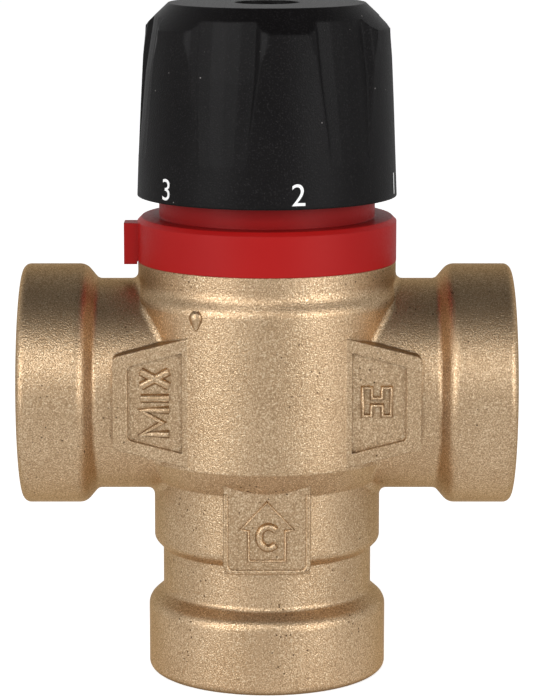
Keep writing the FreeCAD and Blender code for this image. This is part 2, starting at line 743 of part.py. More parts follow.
def make_knob_screw():
    body = new_body("knob_screw")
    turned(body, [
        ("0", "screw_head_bottom - screw_length"),
        ("screw_radius", "screw_head_bottom - screw_length"),
        ("screw_radius", "screw_head_bottom"), ("screw_head_radius", "screw_head_bottom"),
        ("screw_head_radius", "screw_head_top - screw_head_bevel"),
        ("screw_head_radius - screw_head_bevel", "screw_head_top"),
        ("0", "screw_head_top")])
    extruded(body, lambda sketch: hexagon(sketch, "screw_socket_flats"), "screw_socket_depth",
             plane="XY_Plane", lift="screw_head_top", cut=True)
    return body


def make_washer(label, inner, outer, bottom, top):
    body = new_body(label)
    turned(body, [(inner, bottom), (outer, bottom), (outer, top), (inner, top)])
    return body


def make_open_ring(label, inner, outer, bottom, thickness, mouth):
    """Retaining ring with a mouth on its -X side."""
    body = make_washer(label, inner, outer, bottom, f"{bottom} + {thickness}")
    extruded(body, lambda sketch: rectangle(
        sketch, f"-2 * ({outer})", "0", f"-({mouth}) / 2", f"({mouth}) / 2"),
        f"2 * ({thickness})", plane="XY_Plane", lift=bottom, cut=True, both=True)
    return body


# ---------------------------------------------------------------- spindle
def make_spindle():
    """Stem with seal grooves and a splined end above a cup with the adjusting thread."""
    body = new_body("spindle")
    grooves = []
    for bottom in ("stem_seal_low", "stem_seal_high"):
        grooves += [("stem_radius", bottom), ("stem_groove_radius", bottom),
                    ("stem_groove_radius", f"{bottom} + stem_seal_room"),
                    ("stem_radius", f"{bottom} + stem_seal_room")]
    turned(body, [
        ("0", "spindle_cup_bottom"), ("spindle_cup_radius", "spindle_cup_bottom"),
        ("spindle_cup_radius", "spindle_cup_top"), ("stem_radius", "spindle_cup_top"), *grooves,
        ("stem_radius", "clip_bottom"), ("clip_groove_radius", "clip_bottom"),
        ("clip_groove_radius", "clip_top"), ("stem_radius", "clip_top"),
        ("stem_radius", "spline_bottom"), ("spline_radius", "spline_bottom"),
        ("spline_radius", "spindle_top"), ("0", "spindle_top")])
    teeth = extruded(body, lambda sketch: tooth(sketch, "0"), "spindle_top - spline_bottom",
                     plane="XY_Plane", lift="spline_bottom")
    repeated(body, teeth, "spline_count")
    turned(body, [
        ("0", "spindle_cup_bottom"), ("spindle_thread_radius", "spindle_cup_bottom"),
        ("spindle_thread_radius", "spindle_thread_top"), ("0", "spindle_thread_top")], cut=True)
    turned(body, [
        ("0", "spindle_top - screw_length"),
        ("screw_radius + screw_play", "spindle_top - screw_length"),
        ("screw_radius + screw_play", "spindle_top"), ("0", "spindle_top")], cut=True)
    bind(body, "Placement.Rotation.Angle", "knob_turned")
    return body


def make_adjusting_carrier():
    """Threaded cup, keyed to the bonnet, that raises and lowers the element."""
    body = new_body("adjusting_carrier")
    extruded(body, lambda sketch: rectangle(
        sketch, "-carrier_key_radius", "carrier_key_radius", "-carrier_key_width / 2",
        "carrier_key_width / 2"), "carrier_key_height", plane="XY_Plane", lift="carrier_bottom")
    turned(body, [
        ("0", "carrier_bottom"), ("carrier_radius", "carrier_bottom"),
        ("carrier_radius", "carrier_top"), ("0", "carrier_top")])
    turned(body, [
        ("0", "carrier_bottom"), ("carrier_bore_radius", "carrier_bottom"),
        ("carrier_bore_radius", "carrier_clip_height"),
        ("carrier_groove_radius", "carrier_clip_height"),
        ("carrier_groove_radius", "carrier_clip_top"), ("carrier_bore_radius", "carrier_clip_top"),
        ("carrier_bore_radius", "carrier_ceiling"), ("0", "carrier_ceiling")], cut=True)
    return body


# ---------------------------------------------------------------- element and piston
def make_sensor_body():
    """Wax-filled element: cup above, collar, and a nose that guides the pin."""
    body = new_body("sensor_body")
    turned(body, [
        ("0", "element_nose_bottom"), ("element_nose_radius", "element_nose_bottom"),
        ("element_nose_radius", "element_collar_height"),
        ("element_collar_radius", "element_collar_height"),
        ("element_collar_radius", "element_collar_top"), ("element_radius", "element_collar_top"),
        ("element_radius", "carrier_clip_top - element_round"),
        ("element_radius - element_round", "carrier_clip_top"),
        ("0", "carrier_clip_top")])
    turned(body, [
        ("0", "element_nose_bottom"), ("pin_radius + pin_gap", "element_nose_bottom"),
        ("pin_radius + pin_gap", "element_nose_bottom + element_bore_depth"),
        ("0", "element_nose_bottom + element_bore_depth")], cut=True)
    return body


def make_sensor_pin():
    body = new_body("sensor_pin")
    turned(body, [("0", "pin_bottom"), ("pin_radius", "pin_bottom"), ("pin_radius", "pin_top"),
                  ("0", "pin_top")])
    return body


def make_piston():
    """Tube with a sealing flange, a seal groove and a three-armed hub for the pin."""
    body = new_body("piston")
    turned(body, [
        ("piston_foot_radius", "piston_bottom"), ("piston_radius", "piston_bottom"),
        ("piston_radius", "piston_groove_height"), ("piston_groove_radius", "piston_groove_height"),
        ("piston_groove_radius", "piston_groove_top"), ("piston_radius", "piston_groove_top"),
        ("piston_radius", "piston_flange_bottom"), ("piston_flange_radius", "piston_flange_bottom"),
        ("piston_flange_radius", "piston_flange_top"), ("piston_bore_radius", "piston_flange_top"),
        ("piston_bore_radius", "piston_foot_top + piston_foot_slope"),
        ("piston_foot_radius", "piston_foot_top")])
    arm = extruded(body, lambda sketch: rectangle(
        sketch, "0", "piston_bore_radius + piston_arm_sink",
        "piston_hub_bottom + piston_arm_inset", "piston_hub_top - piston_arm_inset"),
        "piston_arm_thickness", both=True)
    repeated(body, arm, "piston_arm_count")
    extruded(body, lambda sketch: circle(sketch, "piston_hub_radius"),
             "piston_hub_top - piston_hub_bottom", plane="XY_Plane", lift="piston_hub_bottom")
    extruded(body, lambda sketch: circle(sketch, "pin_radius + pin_gap"),
             "piston_hub_top - pin_bottom", plane="XY_Plane", lift="piston_hub_top", cut=True)
    return body


# ---------------------------------------------------------------- seals and springs
def make_seal(label, outer, wire, height):
    """O-ring whose outside just clears a bore of radius outer."""
    ring = doc.addObject("Part::Torus", label)
    ring.Label = label
    bind(ring, "Radius1", f"({outer}) - seal_gap - ({wire}) / 2")
    bind(ring, "Radius2", f"({wire}) / 2")
    bind(ring, "Placement.Base.z", height)
    return ring


def make_spring(label, radius, wire, turns, bottom, top):
    """Round-wire coil between two seats."""
    height = f"(({top}) - ({bottom}) - ({wire}) - 2 * spring_gap)"
    path = doc.addObject("Part::Helix", f"{label}_path")
    bind(path, "Radius", radius)
    bind(path, "Height", height)
    bind(path, "Pitch", f"{height} / ({turns})")
    section = doc.addObject("Part::Circle", f"{label}_section")
    bind(section, "Radius", f"({wire}) / 2")
    bind(section, "Placement.Base.x", radius)
    section.Placement.Rotation = FreeCAD.Rotation(FreeCAD.Vector(1, 0, 0), 90)
    coil = doc.addObject("Part::Sweep", label)
    coil.Label = label
    coil.Sections = [section]
    coil.Spine = (path, ["Edge1"])
    coil.Solid = True
    coil.Frenet = True
    bind(coil, "Placement.Base.z", f"({bottom}) + ({wire}) / 2 + spring_gap")
    return coil


def make_pieces():
    """Every piece of the valve, each a document object whose Label names its file."""
    return [
        make_valve_body(),
        make_bonnet(),
        make_seal("bonnet_o_ring", "bonnet_bore_radius", "bonnet_seal_wire",
                  "bonnet_groove_bottom + (body_top - bonnet_groove_bottom) / 2"),
        make_flow_cage(),
        make_marker_collar(),
        make_knob(),
        make_knob_screw(),
        make_washer("screw_washer", "screw_radius + washer_play", "screw_washer_radius",
                    "knob_recess_floor", "screw_head_bottom"),
        make_spindle(),
        make_seal("spindle_o_ring_lower", "stem_bore_radius", "stem_seal_wire",
                  "stem_seal_low + stem_seal_room / 2"),
        make_seal("spindle_o_ring_upper", "stem_bore_radius", "stem_seal_wire",
                  "stem_seal_high + stem_seal_room / 2"),
        make_washer("thrust_washer", "stem_bore_radius + washer_play",
                    "bonnet_inner_radius - thrust_washer_play", "spindle_cup_top",
                    "bonnet_ceiling"),
        make_open_ring("spindle_clip", "clip_groove_radius + clip_fit", "clip_radius",
                       "clip_bottom", "clip_thickness", "1.4 * clip_groove_radius"),
        make_adjusting_carrier(),
        make_open_ring("carrier_circlip", "carrier_groove_radius - carrier_clip_width",
                       "carrier_groove_radius - clip_fit", "carrier_clip_height",
                       "carrier_clip_thickness", "carrier_clip_width * 2"),
        make_spring("overtravel_spring", "overtravel_radius", "overtravel_wire", "overtravel_turns",
                    "cap_top", "carrier_ceiling"),
        make_washer("overtravel_cap", "0", "carrier_bore_radius - cap_gap", "carrier_clip_top",
                    "cap_top"),
        make_sensor_body(),
        make_sensor_pin(),
        make_piston(),
        make_seal("piston_o_ring", "guide_radius", "piston_seal_wire",
                  "(piston_groove_height + piston_groove_top) / 2"),
        make_spring("return_spring", "return_radius", "return_wire", "return_turns",
                    "ledge_height", "piston_bottom"),
    ]


# ---------------------------------------------------------------- build, check and write
pieces = make_pieces()
doc.recompute()
failed = [item.Name for item in doc.Objects if {"Invalid", "Error"} & set(item.State)]
for piece in pieces:
    shape = piece.Shape
    if shape.isNull() or not shape.isValid() or not shape.Solids:
        failed.append(piece.Label)
if failed:
    raise SystemExit("failed: " + ", ".join(failed))
os.makedirs("parts", exist_ok=True)
for piece in pieces:
    piece.Shape.exportStep(f"parts/{piece.Label}.step")
    print(f"{piece.Label}: {len(piece.Shape.Solids)} solid, {piece.Shape.Volume:.1f} mm3")
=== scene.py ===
"""Looks of the thermostatic mixing valve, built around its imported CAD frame."""

import json
from math import cos, pi, radians, sin

import bpy
from mathutils import Matrix, Vector


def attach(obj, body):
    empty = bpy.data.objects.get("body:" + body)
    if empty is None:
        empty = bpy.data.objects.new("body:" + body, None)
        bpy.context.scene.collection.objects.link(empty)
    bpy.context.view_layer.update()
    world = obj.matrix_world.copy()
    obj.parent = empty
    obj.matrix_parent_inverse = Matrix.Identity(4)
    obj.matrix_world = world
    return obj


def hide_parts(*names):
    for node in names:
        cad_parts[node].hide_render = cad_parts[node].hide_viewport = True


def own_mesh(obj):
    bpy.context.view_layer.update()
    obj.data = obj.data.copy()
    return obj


# Millimetres and degrees; azimuths run from the front (-Y) towards +X.
MM = 0.001
PORT_REACH, PORT_HEIGHT = 35.0, 42.0
FACE_DEPTH, MACHINED_RADIUS, MACHINED_START = 0.05, 14.0, 15.0
CASTING_RADIUS = 19.5
HEAD_OUTLINE = [
    (19.498, 54.6), (19.44, 55.0), (19.3, 55.4), (19.08, 55.8), (18.85, 56.2), (18.66, 56.6),
    (18.53, 57.0), (18.475, 57.4), (18.46, 57.8), (18.0, 57.8), (18.0, 54.6)]
NUB_AZIMUTH, NUB_BOTTOM, NUB_HEIGHT, NUB_HALF_WIDTH = -30.3, 52.3, 2.9, 1.4
KNOB_BOTTOM, KNOB_SHOULDER = 69.4, 93.2
KNOB_LOW_RADIUS, KNOB_HIGH_RADIUS = 18.5, 17.6
DIGITS = {"1": 75.8, "2": 13.6, "3": -49.4, "4": -112.4, "5": -175.4, "6": 121.6}
DIGIT_FOOT, DIGIT_HEIGHT, DIGIT_WIDEN = 69.95, 3.0, 1.06
FIGURE_SHARE, INK_LIFT = 0.73, 0.03
SIDE_PAD_FLOOR, LOWER_PAD_FRONT = 15.5, 16.8
MIX_MIDDLE, MIX_TALL = -15.6, 3.9
THREAD_MAJOR, THREAD_MINOR, THREAD_PITCH = 13.22, 12.06, 1.814
THREAD_START, THREAD_LENGTH, THREAD_SEGMENTS = 1.2, 10.2, 96

# Studio, in metres, degrees and watts.
LAMPS = {  # azimuth, elevation, distance, width, height, power
    "left_box": (-46, 14, 1.1, 0.45, 0.5, 3.8),
    "right_box": (46, 14, 1.1, 0.45, 0.5, 4.1),
    "top_box": (-14, 32, 1.1, 0.7, 0.22, 2.6)}
LAMP_TARGET = (0, 0, 0.05)
WORLD_BY_HEIGHT = (0.2, 0.97, 0.75, 0.08)  # from, to, and the strength at each
WORLD_BY_DEPTH = (-1.0, -0.8, 0.4, 1)
FLOOR_HALF, FLOOR_WHITE = 6.0, 0.85
FLOOR_GLOW_SEEN, FLOOR_GLOW_NEAR = 0.72, 0.28
FLOOR_GLOW_FULL, FLOOR_GLOW_END = 0.06, 0.4
CAMERA_PLACE, CAMERA_TILT, CAMERA_LENS = (0, -0.4219, 0.1222), 79.86, 153.0

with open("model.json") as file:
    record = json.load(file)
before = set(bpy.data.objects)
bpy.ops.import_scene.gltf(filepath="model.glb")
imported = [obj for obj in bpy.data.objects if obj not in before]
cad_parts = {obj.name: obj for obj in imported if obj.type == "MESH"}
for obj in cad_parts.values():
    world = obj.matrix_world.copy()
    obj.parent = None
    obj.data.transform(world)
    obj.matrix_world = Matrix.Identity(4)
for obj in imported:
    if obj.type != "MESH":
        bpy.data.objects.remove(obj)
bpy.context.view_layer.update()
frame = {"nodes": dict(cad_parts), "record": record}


# ---------------------------------------------------------------- material helpers
class Shader:
    """A material with its nodes reached through short calls."""

    def __init__(self, name, colour, metallic=0.0, roughness=0.5):
        self.material = bpy.data.materials.new(name)
        self.material.use_nodes = True
        self.tree = self.material.node_tree
        self.surface = self.tree.nodes["Principled BSDF"]
        self.surface.inputs["Base Color"].default_value = (*colour, 1)
        self.surface.inputs["Metallic"].default_value = metallic
        self.surface.inputs["Roughness"].default_value = roughness
        self.place = self.add("ShaderNodeTexCoord").outputs["Object"]
        self.normal = None

    def add(self, kind, **values):
        node = self.tree.nodes.new(kind)
        for key, value in values.items():
            setattr(node, key, value)
        return node

    def link(self, source, target):
        self.tree.links.new(source, target)

    def noise(self, size_mm, detail=2.0, stretch=None):
        """Noise whose grains are about size_mm across, 0 to 1."""
        place = self.place
        if stretch:
            mapping = self.add("ShaderNodeMapping")
            mapping.inputs["Scale"].default_value = stretch
            self.link(place, mapping.inputs["Vector"])
            place = mapping.outputs["Vector"]
        node = self.add("ShaderNodeTexNoise")
        node.inputs["Scale"].default_value = 1 / (size_mm * MM)
        node.inputs["Detail"].default_value = detail
        self.link(place, node.inputs["Vector"])
        return node.outputs["Fac"]

    def ranged(self, source, low, high, new_low, new_high):
        """Source moved from low..high to new_low..new_high, held at both ends."""
        node = self.add("ShaderNodeMapRange")
        for index, value in enumerate((low, high, new_low, new_high), start=1):
            node.inputs[index].default_value = value
        self.link(source, node.inputs[0])
        return node.outputs[0]

    def blend(self, factor, first, second):
        """Colour between first and second; each is a colour or an output."""
        node = self.add("ShaderNodeMix", data_type="RGBA")
        self.link(factor, node.inputs["Factor"])
        for socket, value in ((node.inputs[6], first), (node.inputs[7], second)):
            if isinstance(value, tuple):
                socket.default_value = (*value, 1)
            else:
                self.link(value, socket)
        return node.outputs[2]

    def maths(self, operation, first, second=0.0):
        """One sum on outputs or numbers."""
        node = self.add("ShaderNodeMath", operation=operation)
        for socket, value in ((node.inputs[0], first), (node.inputs[1], second)):
            if isinstance(value, float):
                socket.default_value = value
            else:
                self.link(value, socket)
        return node.outputs[0]

    def between(self, factor, first, second):
        """Number between first and second, each a number or an output."""
        node = self.add("ShaderNodeMix", data_type="FLOAT")
        self.link(factor, node.inputs["Factor"])
        for socket, value in ((node.inputs[2], first), (node.inputs[3], second)):
            if isinstance(value, float):
                socket.default_value = value
            else:
                self.link(value, socket)
        return node.outputs[0]

    def soften(self, radius_mm):
        """Shade sharp edges as if they were rounded."""
        node = self.add("ShaderNodeBevel", samples=4)
        node.inputs["Radius"].default_value = radius_mm * MM
        self.normal = node.outputs["Normal"]

    def painted_shade(self, reach_mm):
        """Mask for painted shade, a darker colour standing in for shade: 1 deep in a gap or crease, 0 in the
        open.
        """
        node = self.add("ShaderNodeAmbientOcclusion", samples=8)
        node.inputs["Distance"].default_value = reach_mm * MM
        return self.ranged(node.outputs["AO"], 0.15, 0.75, 1, 0)

    def pits(self, spacing_mm, radius_mm):
        """1 inside small scattered dots, else 0."""
        node = self.add("ShaderNodeTexVoronoi")
        node.inputs["Scale"].default_value = 1 / (spacing_mm * MM)
        self.link(self.place, node.inputs["Vector"])
        size = radius_mm / spacing_mm
        return self.ranged(node.outputs["Distance"], 0.6 * size, size, 1, 0)

    def near_ports(self):
        """1 on the ports' end faces and inside their bores, else 0."""
        parts = self.add("ShaderNodeSeparateXYZ")
        self.link(self.place, parts.inputs[0])
        x, y, z = (parts.outputs[index] for index in range(3))
        away = self.maths("ABSOLUTE", x)
        side_face = self.maths("GREATER_THAN", away, (PORT_REACH - FACE_DEPTH) * MM)
        lower_face = self.maths("LESS_THAN", z, FACE_DEPTH * MM)
        lift = self.maths("SUBTRACT", z, PORT_HEIGHT * MM)
        side_bore = self.maths("MULTIPLY", self.within_bore(y, lift),
                               self.maths("GREATER_THAN", away, MACHINED_START * MM))
        bores = self.maths("ADD", side_bore, self.within_bore(x, y))
        total = self.maths("ADD", side_face, self.maths("ADD", lower_face, bores))
        return self.maths("MINIMUM", total, 1.0)

    def within_bore(self, first, second):
        """1 where the two outputs are nearer to an axis than the machined radius, else 0."""
        squares = self.maths("ADD", self.maths("POWER", first, 2.0), self.maths("POWER", second, 2.0))
        return self.maths("LESS_THAN", self.maths("SQRT", squares), MACHINED_RADIUS * MM)

    def bump(self, height, depth_mm, strength=1.0):
        """Add relief to the bumps so far."""
        node = self.add("ShaderNodeBump")
        node.inputs["Distance"].default_value = depth_mm * MM
        node.inputs["Strength"].default_value = strength
        self.link(height, node.inputs["Height"])
        if self.normal is not None:
            self.link(self.normal, node.inputs["Normal"])
        self.normal = node.outputs["Normal"]
        self.link(self.normal, self.surface.inputs["Normal"])

    def colour(self, output):
        self.link(output, self.surface.inputs["Base Color"])

    def roughness(self, output):
        self.link(output, self.surface.inputs["Roughness"])


def forged_brass(name, soft_mm):
    """Shot-blasted forging: tan brass with a fine sparkling grain and a few pits, machined at the ports."""
    shader = Shader(name, (0.52, 0.355, 0.21), 1.0, 0.42)
    shader.surface.inputs["Specular Tint"].default_value = (0.78, 0.62, 0.42, 1)
    if soft_mm:
        shader.soften(soft_mm)
    grain = shader.noise(0.19, 1.5)
    coarse = shader.noise(0.5, 2.0)
    broad = shader.noise(9.0, 3.0)
    cloudy = shader.ranged(broad, 0.35, 0.65, 0, 1)
    tone = shader.blend(cloudy, (0.50, 0.34, 0.20), (0.57, 0.40, 0.245))
    tone = shader.blend(shader.ranged(grain, 0.34, 0.50, 0.9, 0), tone, (0.33, 0.22, 0.12))
    tone = shader.blend(shader.ranged(grain, 0.54, 0.70, 0, 0.9), tone, (0.86, 0.69, 0.47))
    clustered = shader.ranged(shader.noise(7.0, 1.0), 0.56, 0.62, 0, 1)
    pits = shader.maths("MULTIPLY", shader.pits(0.9, 0.17), clustered)
    tone = shader.blend(pits, tone, (0.12, 0.075, 0.04))
    machined = shader.near_ports()
    tone = shader.blend(machined, tone, (0.80, 0.62, 0.35))
    # Painted shade: the colour darkens to deep brown in gaps and creases, where shade falls.
    shader.colour(shader.blend(shader.painted_shade(1.5), tone, (0.22, 0.14, 0.075)))
    rough = shader.ranged(grain, 0.3, 0.7, 0.46, 0.32)
    shader.roughness(shader.between(machined, rough, 0.22))
    shader.bump(coarse, 0.035, 0.5)
    shader.bump(grain, 0.065, 1.0)
    return shader.material


def turned_brass():
    """Machined brass with fine turning lines."""
    shader = Shader("turned_brass", (0.78, 0.60, 0.33), 1.0, 0.25)
    lines = shader.noise(0.25, 1.0, (0.15, 0.15, 1))
    tone = shader.blend(lines, (0.72, 0.54, 0.28), (0.82, 0.65, 0.38))
    # Painted shade: the colour darkens to deep brown in gaps and creases, where shade falls.
    shader.colour(shader.blend(shader.painted_shade(1.5), tone, (0.22, 0.14, 0.07)))
    shader.roughness(shader.ranged(lines, 0.3, 0.7, 0.2, 0.34))
    shader.bump(lines, 0.01, 0.4)
    return shader.material


def moulded(name, dark, light, roughness, grain_mm, depth_mm, gloss=0.4):
    """Moulded plastic or rubber with a fine spark-eroded grain."""
    shader = Shader(name, dark, 0.0, roughness)
    shader.surface.inputs["Specular IOR Level"].default_value = gloss
    shader.soften(0.3)
    grain = shader.noise(grain_mm, 2.0)
    broad = shader.noise(14.0, 2.0)
    tone = shader.blend(shader.ranged(broad, 0.3, 0.7, 0, 1), dark, light)
    # Painted shade: the colour darkens to a third in gaps and creases, such as the collar's neck under the
    # knob, where shade falls.
    shader.colour(shader.blend(shader.painted_shade(4.0), tone, tuple(0.3 * value for value in dark)))
    shader.roughness(shader.ranged(grain, 0.3, 0.7, roughness - 0.05, roughness + 0.08))
    shader.bump(grain, depth_mm, 0.6)
    return shader.material


def knob_plastic():
    """Matte black grip with a fine grain and a few pale specks of dust."""
    shader = Shader("knob_plastic", (0.006, 0.0055, 0.006), 0.0, 0.45)
    shader.surface.inputs["Specular IOR Level"].default_value = 0.12
    shader.soften(0.5)
    grain = shader.noise(0.22, 2.5)
    broad = shader.noise(10.0, 3.0)
    cloudy = shader.ranged(broad, 0.3, 0.7, 0, 1)
    tone = shader.blend(cloudy, (0.0022, 0.0018, 0.002), (0.0045, 0.0039, 0.0042))
    tone = shader.blend(shader.ranged(grain, 0.55, 0.75, 0, 1), tone, (0.018, 0.0165, 0.017))
    shader.colour(shader.blend(shader.pits(2.8, 0.11), tone, (0.30, 0.28, 0.27)))
    shader.roughness(shader.ranged(grain, 0.3, 0.7, 0.36, 0.50))
    shader.bump(grain, 0.05, 0.8)
    return shader.material


def painted(name, colour):
    """Flat printed ink."""
    shader = Shader(name, colour, 0.0, 0.5)
    grain = shader.noise(0.3, 2.0)
    paler = tuple(min(1.0, value * 1.05) for value in colour)
    shader.colour(shader.blend(grain, colour, paler))
    shader.bump(grain, 0.004, 0.4)
    return shader.material


def metal(name, dark, light, roughness):
    """Bright drawn or plated metal."""
    shader = Shader(name, dark, 1.0, roughness)
    grain = shader.noise(0.6, 3.0)
    shader.colour(shader.blend(grain, dark, light))
    shader.roughness(shader.ranged(grain, 0.3, 0.7, roughness - 0.06, roughness + 0.08))
    shader.bump(grain, 0.01, 0.4)
    return shader.material


MATERIALS = {
    "forged_brass": forged_brass("forged_brass", 0.4),
    "turned_brass": turned_brass(),
    "knob_plastic": knob_plastic(),
    "collar_plastic": moulded(
        "collar_plastic", (0.345, 0.006, 0.006), (0.375, 0.008, 0.007), 0.42, 0.4, 0.008, gloss=0.16),
    "cage_plastic": moulded("cage_plastic", (0.02, 0.02, 0.022), (0.03, 0.03, 0.032), 0.4, 0.5, 0.01),
    "seal_rubber": moulded("seal_rubber", (0.012, 0.012, 0.012), (0.02, 0.02, 0.02), 0.6, 0.3, 0.01),
    "spring_steel": metal("spring_steel", (0.5, 0.5, 0.5), (0.62, 0.62, 0.62), 0.3),
    "screw_steel": metal("screw_steel", (0.52, 0.52, 0.54), (0.64, 0.64, 0.66), 0.35),
    "element_copper": metal("element_copper", (0.66, 0.36, 0.22), (0.74, 0.44, 0.28), 0.3),
}
INK = painted("digit_ink", (0.86, 0.86, 0.86))
MARKS = forged_brass("forged_marks", 0)
for row in frame["record"]["subparts"]:
    for holder in frame["nodes"][row["node"]].material_slots:
        holder.link = "OBJECT"
        holder.material = MATERIALS[row["material_slot"]]


# ---------------------------------------------------------------- small forms
def mesh_piece(name, mesh, body, material):
    """Object for the mesh that rides on a body and takes the given material."""
    piece = bpy.data.objects.new(name, mesh)
    bpy.context.collection.objects.link(piece)
    mesh.materials.clear()
    mesh.materials.append(material)
    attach(piece, body)
    return piece


def shade_smooth(mesh):
    for polygon in mesh.polygons:
        polygon.use_smooth = True


def smooth_mesh(name, points, faces):
    """Mesh of points in millimetres, shaded smooth."""
    mesh = bpy.data.meshes.new(name)
    mesh.from_pydata([Vector(point) * MM for point in points], [], faces)
    shade_smooth(mesh)
    return mesh


def as_mesh(curve, name):
    """The curve's surface as a mesh, and the curve taken away again."""
    holder = bpy.data.objects.new(name, curve)
    bpy.context.collection.objects.link(holder)
    bpy.context.view_layer.update()
    evaluated = holder.evaluated_get(bpy.context.evaluated_depsgraph_get())
    mesh = bpy.data.meshes.new_from_object(evaluated)
    bpy.data.objects.remove(holder)
    bpy.data.curves.remove(curve)
    return mesh


def around_axis(radius, azimuth, height):
    """Point in millimetres at that distance from the knob's axis; azimuth in radians."""
    return radius * sin(azimuth), -radius * cos(azimuth), height


def on_knob(azimuth, height):
    """Point in metres just off the knob's tapered side; azimuth in radians."""
    lean = (KNOB_LOW_RADIUS - KNOB_HIGH_RADIUS) / (KNOB_SHOULDER - KNOB_BOTTOM)
    radius = KNOB_LOW_RADIUS - (height - KNOB_BOTTOM) * lean + INK_LIFT
    return Vector(around_axis(radius, azimuth, height)) * MM


def print_digit(text, azimuth):
    """White digit printed on the knob's skirt."""
    letters = bpy.data.curves.new(f"digit_{text}", "FONT")
    letters.body = text
    letters.size = DIGIT_HEIGHT / FIGURE_SHARE
    letters.align_x = "CENTER"
    letters.resolution_u = 6
    mesh = as_mesh(letters, f"digit_{text}")
    ups = [vertex.co.y for vertex in mesh.vertices]
    acrosses = [vertex.co.x for vertex in mesh.vertices]
    low, high = min(ups), max(ups)
    middle = (min(acrosses) + max(acrosses)) / 2
    for vertex in mesh.vertices:
        across = (vertex.co.x - middle) * DIGIT_WIDEN
        up = DIGIT_FOOT + (vertex.co.y - low) / (high - low) * DIGIT_HEIGHT
        vertex.co = on_knob(radians(azimuth) + across / KNOB_LOW_RADIUS, up)
    mesh_piece(f"digit_{text}", mesh, "knob_set", INK)


def ridge(name, runs, width, rise, front, closed=False):
    """Soft raised lines on a plate that faces -Y; each run is a list of (x, z) in mm."""
    line = bpy.data.curves.new(name, "CURVE")
    line.dimensions = "3D"
    line.bevel_depth = width / 2
    line.bevel_resolution = 3
    line.use_fill_caps = True
    for run in runs:
        spline = line.splines.new("POLY")
        spline.points.add(len(run) - 1)
        for point, (x, z) in zip(spline.points, run):
            point.co = (x, 0, z, 1)
        spline.use_cyclic_u = closed
    mesh = as_mesh(line, name)
    for vertex in mesh.vertices:
        x, y, z = vertex.co
        vertex.co = Vector((x, y * rise / (width / 2) - front, z)) * MM
    shade_smooth(mesh)
    mesh_piece(name, mesh, "casting", MARKS)


def arc(x, z, radius_x, radius_z, start, end, steps=20):
    """Points of an arc in the plate's plane, angles in degrees from +X."""
    angles = [radians(start + (end - start) * step / steps) for step in range(steps + 1)]
    return [(x + radius_x * cos(angle), z + radius_z * sin(angle)) for angle in angles]


def rounded(left, right, bottom, top, corner):
    """Outline of a plate with its two lower corners rounded."""
    return ([(left, top)] + arc(left + corner, bottom + corner, corner, corner, 180, 270, 6)
            + arc(right - corner, bottom + corner, corner, corner, 270, 360, 6) + [(right, top)])


def mark_left_pad():
    """Three letters read from the bottom upwards: the port gives mixed water."""
    top, foot = MIX_MIDDLE - MIX_TALL / 2, MIX_MIDDLE + MIX_TALL / 2
    m_start, m_end, m_dip = 37.6, 41.0, 0.9
    i_place = 42.7
    x_start, x_end = 44.4, 46.5
    runs = [
        [(foot, m_start), (top, m_start), (foot - m_dip, (m_start + m_end) / 2), (top, m_end), (foot, m_end)],
        [(top, i_place), (foot, i_place)],
        [(top, x_start), (foot, x_end)],
        [(top, x_end), (foot, x_start)]]
    ridge("mark_mix", runs, width=1.25, rise=0.65, front=SIDE_PAD_FLOOR)


def mark_right_pad():
    """Outlined letter H for the hot port."""
    x, z, half, stem, bar = 15.3, 42.2, 2.0, 1.25, 0.5
    runs = [[
        (x - half, z - half), (x - half, z + half), (x - half + stem, z + half),
        (x - half + stem, z + bar), (x + half - stem, z + bar), (x + half - stem, z + half),
        (x + half, z + half), (x + half, z - half), (x + half - stem, z - half),
        (x + half - stem, z - bar), (x - half + stem, z - bar), (x - half + stem, z - half)]]
    ridge("mark_hot", runs, width=0.7, rise=0.6, front=SIDE_PAD_FLOOR, closed=True)


def mark_lower_pad():
    """Arrow-like house outline with a C in it for the cold port."""
    wall, foot, wall_top = 2.6, 19.7, 24.0
    eave, eave_height, peak = 3.7, 24.2, 28.1
    house = [(-wall, foot), (wall, foot), (wall, wall_top), (eave, eave_height), (0.0, peak),
             (-eave, eave_height), (-wall, wall_top)]
    rim = rounded(left=-5.75, right=5.75, bottom=18.1, top=29.2, corner=1.0)
    letter = arc(0.2, 23.1, radius_x=1.3, radius_z=1.55, start=42, end=318)
    ridge("mark_arrow", [house], width=0.5, rise=0.34, front=LOWER_PAD_FRONT, closed=True)
    ridge("lower_pad_rim", [rim], width=0.7, rise=0.2, front=LOWER_PAD_FRONT)
    ridge("mark_cold", [letter], width=1.1, rise=0.6, front=LOWER_PAD_FRONT)


def thread(name, place, turn):
    """Ridge of a pipe thread that winds into a port along its +Z, then moved into place."""
    steps = round((THREAD_LENGTH / THREAD_PITCH) * THREAD_SEGMENTS)
    fade_steps = THREAD_SEGMENTS / 4
    root, half_foot, half_crest = THREAD_MAJOR + 0.02, 0.46, 0.1
    profile = [(root, -half_foot), (THREAD_MINOR, -half_crest), (THREAD_MINOR, half_crest), (root, half_foot)]
    count = len(profile)
    points, faces = [], []
    for step in range(steps + 1):
        angle = 2 * pi * step / THREAD_SEGMENTS
        rise = THREAD_START + THREAD_PITCH * step / THREAD_SEGMENTS
        fade = min(1.0, step / fade_steps, (steps - step) / fade_steps)
        for radius, offset in profile:
            reach = THREAD_MAJOR + (radius - THREAD_MAJOR) * fade
            points.append((reach * cos(angle), reach * sin(angle), rise + offset * THREAD_PITCH))
    for step in range(steps):
        for corner in range(count - 1):
            here = step * count + corner
            faces.append((here, here + 1, here + count + 1, here + count))
    mesh = smooth_mesh(name, points, faces)
    mesh.transform(Matrix.Translation(Vector(place) * MM) @ Matrix.Rotation(radians(turn), 4, "Y"))
    mesh.set_sharp_from_angle(angle=radians(25))
    mesh_piece(name, mesh, "casting", MATERIALS["turned_brass"])


